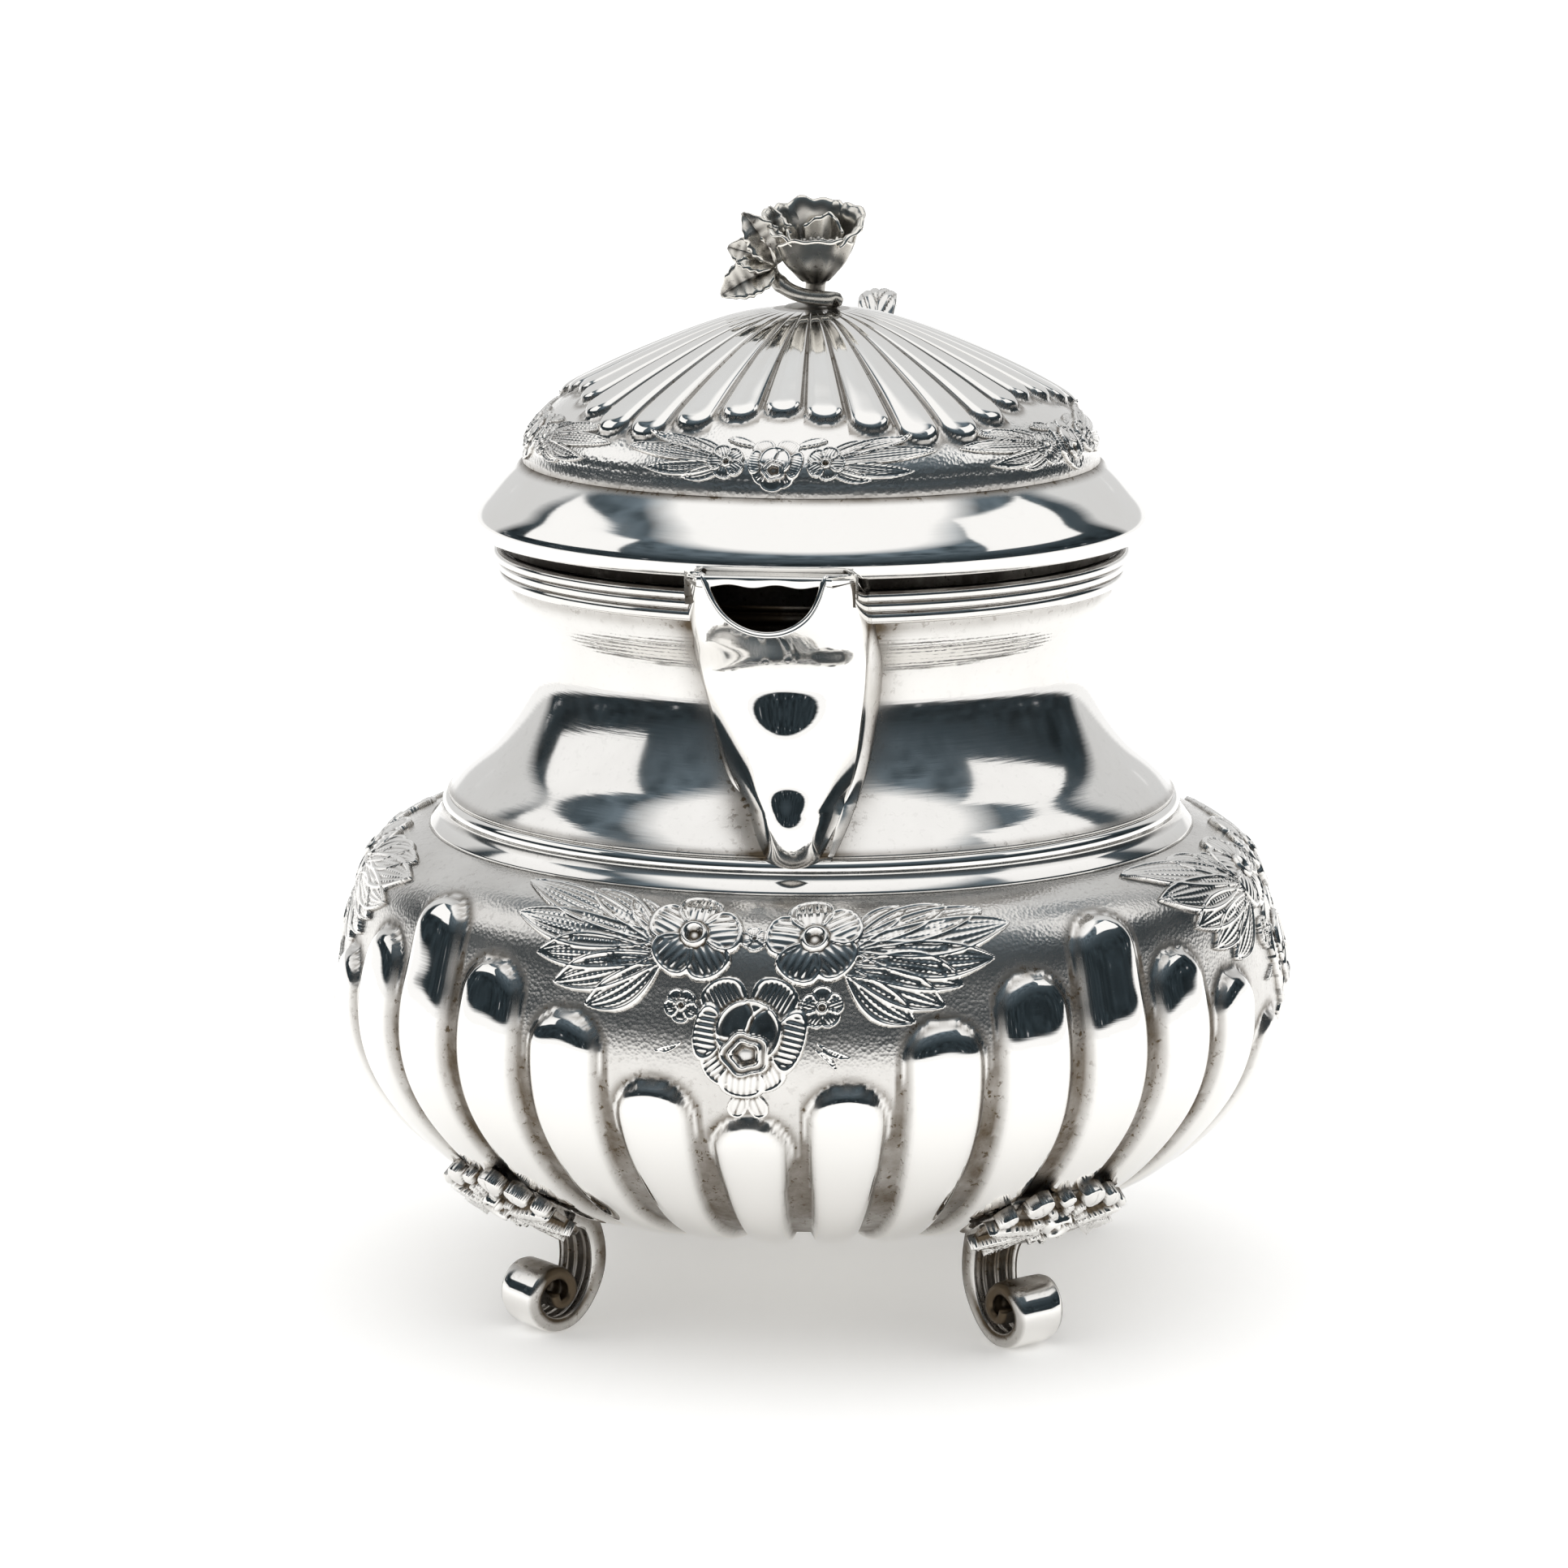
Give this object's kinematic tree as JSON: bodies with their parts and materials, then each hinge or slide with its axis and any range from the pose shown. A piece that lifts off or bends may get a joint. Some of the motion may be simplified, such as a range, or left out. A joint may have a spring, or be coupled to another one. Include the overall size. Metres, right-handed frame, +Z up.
{
  "type": "teapot",
  "caption": "Lobed silver teapot with a beak spout, hinged domed lid with a rose finial, scroll feet and a scroll handle with bone insulators.",
  "frame": {"origin": "centre of the whole pot's footprint, on the surface that it stands on", "axes": "+Z up, -Y towards the spout, +Y towards the handle, +X to the right of someone who looks at the spout from in front"},
  "size_m": [0.149, 0.1885, 0.1689],
  "materials": {
    "polished_silver": "polished silver, fine wipe marks, dark in the recesses",
    "satin_silver": "softly polished silver with fine turning lines",
    "oxidised_silver": "oxidised silver, brighter on raised edges",
    "bone": "polished bone, slightly yellowed"
  },
  "bodies": {
    "pot": {"bowl": "polished_silver", "shoulder_ring": "polished_silver", "neck": "satin_silver", "mouth_collar": "polished_silver", "spout": "polished_silver", "hinge_pot_leaf": "polished_silver", "hinge_pin": "polished_silver", "handle": "polished_silver", "handle_pins": "polished_silver", "thumb_leaf": "polished_silver", "handle_upper_socket": "polished_silver", "handle_lower_socket": "polished_silver", "insulator_upper": "bone", "insulator_lower": "bone", "foot_front_left": "polished_silver", "foot_front_right": "polished_silver", "foot_back_left": "polished_silver", "foot_back_right": "polished_silver"},
    "lid": {"lid_bezel": "oxidised_silver", "lid_rim": "polished_silver", "lid_dome": "polished_silver", "finial_rose": "oxidised_silver", "finial_stem": "oxidised_silver", "finial_leaves": "oxidised_silver", "finial_washer": "satin_silver", "finial_nut": "satin_silver", "hinge_lid_leaf": "polished_silver"}
  },
  "joints": [
    {"name": "lid_hinge", "type": "hinge", "parent": "pot", "child": "lid", "pos_m": [0, 0.034, 0.1167], "axis": [-1, 0, 0], "range_deg": [0, 80]}
  ]
}
